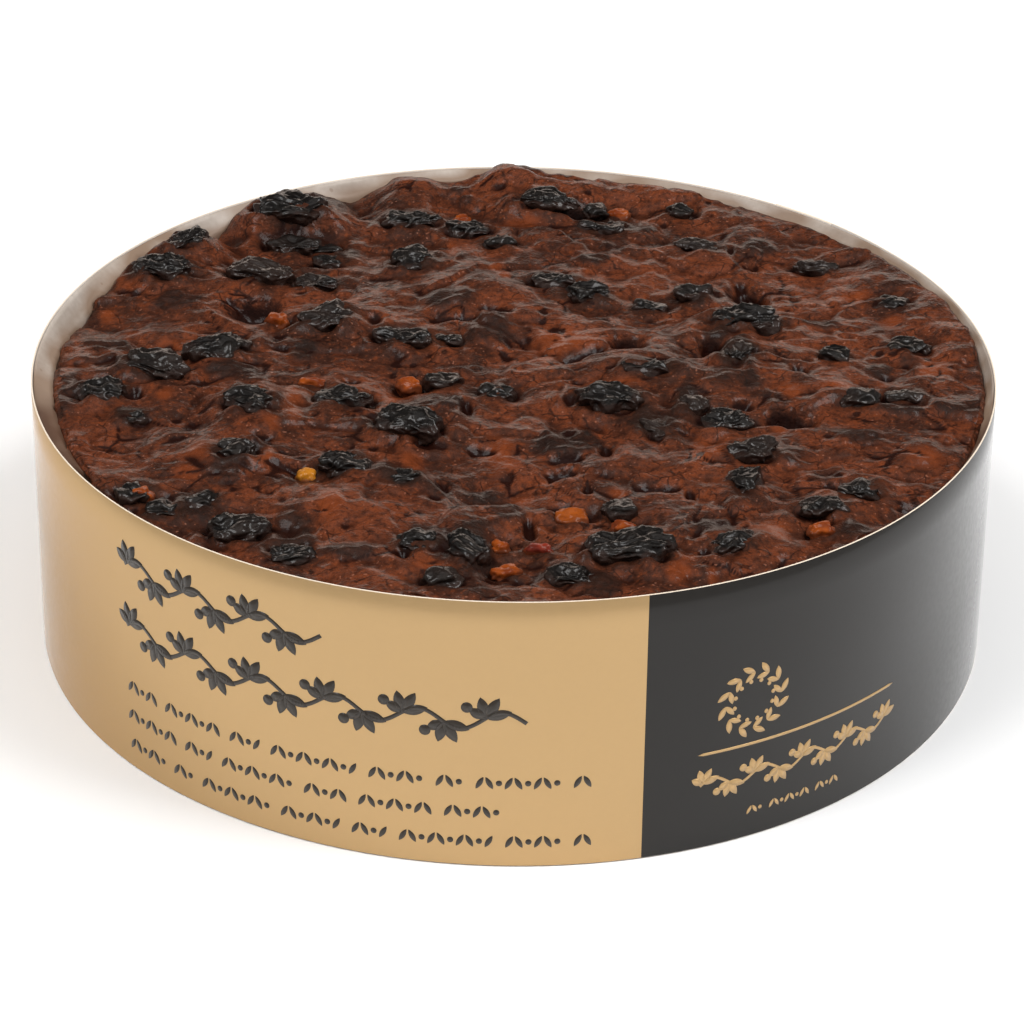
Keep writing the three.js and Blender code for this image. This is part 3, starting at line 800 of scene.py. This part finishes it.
class Look:
    """The nodes of a material or of the world, and the shader that they lead to."""

    def __init__(self, owner, shader="Principled BSDF"):
        owner.use_nodes = True
        self.owner = owner
        self.nodes, self.links = owner.node_tree.nodes, owner.node_tree.links
        self.shader = self.nodes[shader]

    def put(self, node, inputs):
        """Gives a node's inputs plain values, or joins other nodes' outputs to them."""
        for key, value in inputs.items():
            if isinstance(value, bpy.types.NodeSocket):
                self.links.new(value, node.inputs[key])
            else:
                node.inputs[key].default_value = value

    def shade(self, inputs):
        self.put(self.shader, inputs)

    def node(self, kind, inputs, **settings):
        node = self.nodes.new("ShaderNode" + kind)
        for name, value in settings.items():
            setattr(node, name, value)
        self.put(node, inputs)
        return node

    def place(self):
        """Where a point lies in its object's own space, in metres."""
        return self.node("TexCoord", {}).outputs["Object"]

    def attribute(self, name):
        """A mark that the mesh carries."""
        return self.node("Attribute", {}, attribute_name=name).outputs["Fac"]

    def noise(self, scale, detail=3.0, stretch=(1, 1, 1)):
        """Noise over the object's own space; scale is in bumps a metre."""
        vector = self.node("Mapping", {"Vector": self.place(), "Scale": stretch}).outputs["Vector"]
        return self.node("TexNoise", {"Vector": vector, "Scale": scale, "Detail": detail}).outputs["Fac"]

    def reckoned(self, operation, *values):
        return self.node("Math", dict(enumerate(values)), operation=operation).outputs["Value"]

    def mapped(self, value, low, high, to_low=0.0, to_high=1.0):
        """A value carried from one range to another."""
        ranges = {"From Min": low, "From Max": high, "To Min": to_low, "To Max": to_high}
        return self.node("MapRange", {"Value": value, **ranges}).outputs["Result"]

    def mixed(self, factor, first, second):
        """Two colours mixed. A colour is a socket or as it is seen on a screen."""
        first, second = (rgb(*colour) if isinstance(colour, tuple) else colour for colour in (first, second))
        return self.node("Mix", {"Factor": factor, "A": first, "B": second}, data_type="RGBA").outputs[2]

    def tinted(self, colour, shade, value, low, high, most=1.0):
        """A colour that goes over to a shade, or most of the way, as a value goes from low to high."""
        return self.mixed(self.mapped(value, low, high, 0.0, most), colour, shade)

    def bump(self, height, distance, strength, under=None, socket="Normal"):
        """Roughens the shader, or its coat; under is a roughening that it comes on top of."""
        inputs = {"Height": height, "Distance": distance, "Strength": strength}
        if under:
            inputs["Normal"] = under
        normal = self.node("Bump", inputs).outputs["Normal"]
        self.shade({socket: normal})
        return normal


def new_look(name):
    return Look(bpy.data.materials.new(name))


def crumb_material():
    look = new_look("crumb")
    broad, middling, fine, grain = (look.noise(*size) for size in ((60, 3), (230, 4), (900, 4), (2800, 3)))
    colour = look.tinted(CRUMB_DEEP, CRUMB_RED, look.mixed(0.45, broad, middling), 0.42, 0.58)
    colour = look.tinted(colour, CRUMB_DARK_GRAIN, fine, 0.48, 0.66, 0.65)
    colour = look.tinted(colour, CRUMB_PALE_GRAIN, fine, 0.44, 0.3, 0.55)
    colour = look.tinted(colour, CRUMB_FINE_GRAIN, grain, 0.5, 0.7, 0.5)
    # Painted highlight: pale specks for tiny glints on the crumb.
    colour = look.tinted(colour, CRUMB_PAINTED_GLINT, look.noise(1600, 0), 0.76, 0.8, 0.45)
    place = look.place()
    warp = look.node("TexNoise", {"Vector": place, "Scale": 260}).outputs["Color"]
    bent = look.node("VectorMath", {0: warp, 1: (0.004, 0.004, 0.004), 2: place}, operation="MULTIPLY_ADD")
    bent = bent.outputs["Vector"]
    veins = look.node("TexVoronoi", {"Vector": bent, "Scale": 210}, feature="DISTANCE_TO_EDGE")
    vein = look.mapped(veins.outputs["Distance"], 0.045, 0.01)
    faint = look.reckoned("MULTIPLY", vein, look.mapped(middling, 0.5, 0.56, 0, 0.75))
    colour = look.mixed(faint, colour, CRUMB_VEIN)
    for mark, low, high, most, shade in CRUMB_MARKS:
        colour = look.tinted(colour, shade, look.attribute(mark), low, high, most)
    shine = look.mapped(middling, 0.35, 0.65, 0.36, 0.55)
    dull = look.mapped(look.attribute("hollow"), 0.1, 0.5, 0, 0.5)
    look.shade({
        "Base Color": colour,
        "Roughness": look.reckoned("ADD", shine, dull),
        "Specular IOR Level": 0.05,
        "Specular Tint": (1, 0.7, 0.55, 1),
        "Coat Weight": 0.5,
        "Coat IOR": 1.27,
        "Coat Roughness": 0.18,
    })
    look.bump(fine, 0.0003, 0.45, socket="Coat Normal")
    rough = look.bump(fine, 0.0008, 0.8)
    look.bump(grain, 0.0002, 0.8, under=rough)
    return look.owner


def filmed(look, colour, film):
    """A fruit's colour under the crumb that has crept up its side."""
    height = look.reckoned("MULTIPLY_ADD", look.noise(420), -1.1, look.attribute("proud"))
    return look.tinted(colour, film, height, 0.05, -0.25, 0.9)


def raisin_material():
    look = new_look("raisin")
    fine = look.noise(1800)
    colour = look.tinted(RAISIN_DARK, RAISIN_PALE, look.noise(260), 0.4, 0.65)
    # Painted shade: the skin darkened to near black in the valleys between its folds.
    colour = look.tinted(RAISIN_VALLEY_SHADE, colour, look.attribute("crest"), 0.1, 0.7)
    veil = look.mixed(0.5, look.noise(140, 2), look.attribute("veil"))
    colour = look.tinted(colour, RAISIN_VEIL, veil, 0.52, 0.66, 0.8)
    look.shade({
        "Base Color": filmed(look, colour, RAISIN_FILM),
        "Roughness": look.mapped(fine, 0.3, 0.7, 0.36, 0.5),
        "Specular IOR Level": 0.1,
        "Specular Tint": (1, 0.85, 0.75, 1),
        "Coat Weight": 0.65,
        "Coat IOR": 1.34,
        "Coat Roughness": 0.1,
    })
    look.bump(fine, 0.00015, 0.3, socket="Coat Normal")
    look.bump(fine, 0.0004, 0.7)
    return look.owner


def nut_material(name, pale, deep, ripe):
    look = new_look(name)
    fine = look.noise(1600)
    colour = look.tinted(pale, deep, look.noise(350), 0.4, 0.62)
    colour = look.tinted(colour, ripe, look.attribute("veil"), 0.7, 0.95)
    colour = look.tinted(colour, NUT_SPECK, fine, 0.55, 0.75, 0.5)
    look.shade({
        "Base Color": filmed(look, colour, NUT_FILM),
        "Roughness": 0.38,
        "Specular IOR Level": 0.05,
        "Specular Tint": (1, 0.7, 0.45, 1),
        "Coat Weight": 0.4,
        "Coat IOR": 1.3,
        "Coat Roughness": 0.12,
    })
    look.bump(fine, 0.0002, 0.5)
    return look.owner


def ink_material(name, colour, metallic, coat, coat_ior=1.5, edge=WHITE):
    look = new_look(name)
    grain = look.noise(900, 2)
    faded = [v * 0.985 for v in rgb(*colour)]
    look.shade({
        "Base Color": look.tinted(faded, colour, grain, 0.3, 0.7),
        "Metallic": metallic,
        "Roughness": look.mapped(grain, 0.3, 0.7, 0.28, 0.34),
        "IOR": 1.25,
        "Specular Tint": edge,
        "Coat Weight": coat,
        "Coat Roughness": 0.1,
        "Coat IOR": coat_ior,
    })
    look.bump(grain, 0.00001, 0.3)
    return look.owner


def card_material():
    look = new_look("card_inside")
    fibre = look.noise(1200, 3, (1, 1, 0.4))
    colour = look.tinted(CARD_PALE, CARD_PALER, fibre, 0.3, 0.7)
    colour = look.tinted(colour, CARD_STAIN, look.noise(60), 0.45, 0.7, 0.6)
    height = look.node("SeparateXYZ", {"Vector": look.place()}).outputs["Z"]
    colour = look.tinted(colour, CARD_GREASE, height, 0.0525, 0.0495, 0.75)
    look.shade({"Base Color": colour, "Roughness": 0.55})
    look.bump(fibre, 0.00003, 0.4)
    return look.owner


def paper_material():
    look = new_look("greaseproof_paper")
    fibre = look.noise(900)
    soaked = look.attribute("soaked")
    colour = look.tinted(PAPER_PALE, PAPER_PALER, fibre, 0.3, 0.7)
    colour = look.tinted(colour, PAPER_GREASED, soaked, 0.05, 0.7, 0.95)
    colour = look.tinted(colour, PAPER_DRENCHED, soaked, 0.8, 1.2)
    colour = look.tinted(colour, PAPER_SPECK, look.noise(420, 1), 0.76, 0.8, 0.4)
    look.shade({"Base Color": colour, "Roughness": 0.5})
    look.bump(fibre, 0.00005, 0.4)
    return look.owner


def cut_material():
    look = new_look("card_cut")
    colour = look.tinted(CUT_PALE, CUT_PALER, look.noise(3000, 2), 0.3, 0.7)
    look.shade({"Base Color": colour, "Roughness": 0.8})
    return look.owner


# ---- the object ----
raisin_nodes = sorted(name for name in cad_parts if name.startswith("raisin_"))
raisins = [Fruit.of_node(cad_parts[name]) for name in raisin_nodes]
large = [k for k, fruit in enumerate(raisins) if fruit.half_length >= LARGE]
medium = [k for k, fruit in enumerate(raisins) if fruit.half_length < LARGE]
for k, fruit in enumerate(raisins):
    fruit.buried = LARGE_BURIED if k in large else MEDIUM_BURIED
small_fruit, nuts, cherries = listed(SMALL_FRUIT), listed(NUTS, Nut), listed(CHERRIES, Nut)

side = make_cake(crumb_material(), raisins, small_fruit + nuts + cherries)
make_paper(paper_material(), *side)
skin = raisin_material()
for name, chosen in (("raisins_large", large), ("raisins_medium", medium)):
    piece = make_fruit(name, [raisins[k] for k in chosen], wrinkled, 5, skin)
    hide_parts(*[raisin_nodes[k] for k in chosen])
make_fruit("raisins_small", small_fruit, wrinkled, 4, skin)
make_fruit("nuts", nuts, chopped, 4, nut_material("nut", NUT_PALE, NUT_DEEP, NUT_RIPE))
cherry = nut_material("cherry", CHERRY_PALE, CHERRY_DEEP, CHERRY_RIPE)
make_fruit("cherries", cherries, chopped, 4, cherry)
gold_ink = ink_material("gold_ink", GOLD, 0.6, 1.0, 1.2, rgb(*GOLD_EDGE))
dark_ink = ink_material("dark_ink", DARK, 0.0, 1.0, 1.27)
make_collar([gold_ink, dark_ink, card_material(), cut_material()])
# The print's places are measured round the collar from its front and up from its foot, in millimetres.
make_print(
    "print_dark",
    garland(-77, -33, 42, 8.5)
    + garland(-77, 3, 29.5, 8.5)
    + sprigs(-76.6, 17, (5, 8, 4, 10, 6, 3, 9, 2), 2.7)
    + sprigs(-76.8, 11, (8, 4, 9, 5, 8, 6), 2.7)
    + sprigs(-76.4, 5, (6, 3, 9, 7, 4, 10, 6, 2), 2.7),
    ink_material("print_dark_ink", PRINT_DARK, 0.0, 0.5),
)
make_print(
    "print_gold",
    wreath(44, 28, 5.6)
    + [bar(33.5, 19.2, 44, 0.5)]
    + garland(34, 78, 12.8, 6)
    + sprigs(44, 5.4, (3, 8, 5), 1.8),
    ink_material("print_gold_ink", PRINT_GOLD, 0.4, 0.4),
)

# ---- stage, lights and camera, in metres ----
FLOOR_SIZE = 6.0
FLOOR_DROP = 0.0002
# The studio is pale in front and at the sides and grows darker overhead and behind.
DARK_QUARTER = (0, 0.8, 0.6)
FRONT_GLOW = 0.5
BACK_GLOW = 0.08
LAMPS = (  # name, place, height it points at over the middle, width, height, watts, colour
    ("left_softbox", (-0.6, -0.35, 1.2), 0.03, 0.6, 0.6, 9, (1, 1, 1)),
    ("right_softbox", (0.75, -0.2, 1.15), 0.03, 0.6, 0.6, 11.5, (1, 1, 1)),
    ("overhead_softbox", (0, 0.1, 1.4), 0.03, 1.2, 1.2, 3, (1, 1, 1)),
    ("back_strip", (0, 1.3, 0.3), 0.05, 1.6, 0.3, 3, (1, 0.84, 0.73)),
)


def make_stage():
    mesh = bpy.data.meshes.new("floor")
    half = FLOOR_SIZE / 2
    corners = [(-half, -half, 0), (half, -half, 0), (half, half, 0), (-half, half, 0)]
    mesh.from_pydata(corners, [], [(0, 1, 2, 3)])
    floor = bpy.data.objects.new("floor", mesh)
    bpy.context.scene.collection.objects.link(floor)
    floor.location.z = -FLOOR_DROP
    look = new_look("floor")
    look.shade({"Base Color": (0.98, 0.98, 0.98, 1), "Roughness": 0.9})
    mesh.materials.append(look.owner)
    world = bpy.data.worlds.new("studio")
    look = Look(world, "Background")
    direction = look.node("TexCoord", {}).outputs["Generated"]
    toward = look.node("VectorMath", {0: direction, 1: DARK_QUARTER}, operation="DOT_PRODUCT")
    glow = look.mapped(toward.outputs["Value"], 0.2, 0.85, FRONT_GLOW, BACK_GLOW)
    look.shade({"Color": WHITE, "Strength": glow})
    bpy.context.scene.world = world


def add_lamp(name, place, aim, width, height, power, colour):
    """A soft oblong lamp."""
    data = bpy.data.lights.new(name, "AREA")
    data.shape = "RECTANGLE"
    data.size, data.size_y = width, height
    data.energy = power
    data.color = colour
    lamp = bpy.data.objects.new(name, data)
    bpy.context.scene.collection.objects.link(lamp)
    lamp.location = place
    lamp.rotation_euler = (Vector((0, 0, aim)) - Vector(place)).to_track_quat("-Z", "Y").to_euler()


def make_camera():
    """The photograph's view: from in front, a little under 30 degrees above the table."""
    data = bpy.data.cameras.new("camera")
    data.sensor_width = SENSOR
    data.lens = LENS
    data.clip_start, data.clip_end = 0.01, 20
    camera = bpy.data.objects.new("camera", data)
    bpy.context.scene.collection.objects.link(camera)
    back = Vector((0, -math.cos(ELEVATION), math.sin(ELEVATION)))
    camera.location = (Vector((0, 0, VIEW_AIM)) + VIEW_DISTANCE * back) * MM
    level = Matrix.Rotation(math.pi / 2 - ELEVATION, 4, "X")
    camera.rotation_euler = (level @ Matrix.Rotation(ROLL, 4, "Z")).to_euler()
    bpy.context.scene.camera = camera


make_stage()
for lamp in LAMPS:
    add_lamp(*lamp)
make_camera()
bpy.context.scene.view_settings.view_transform = "Standard"
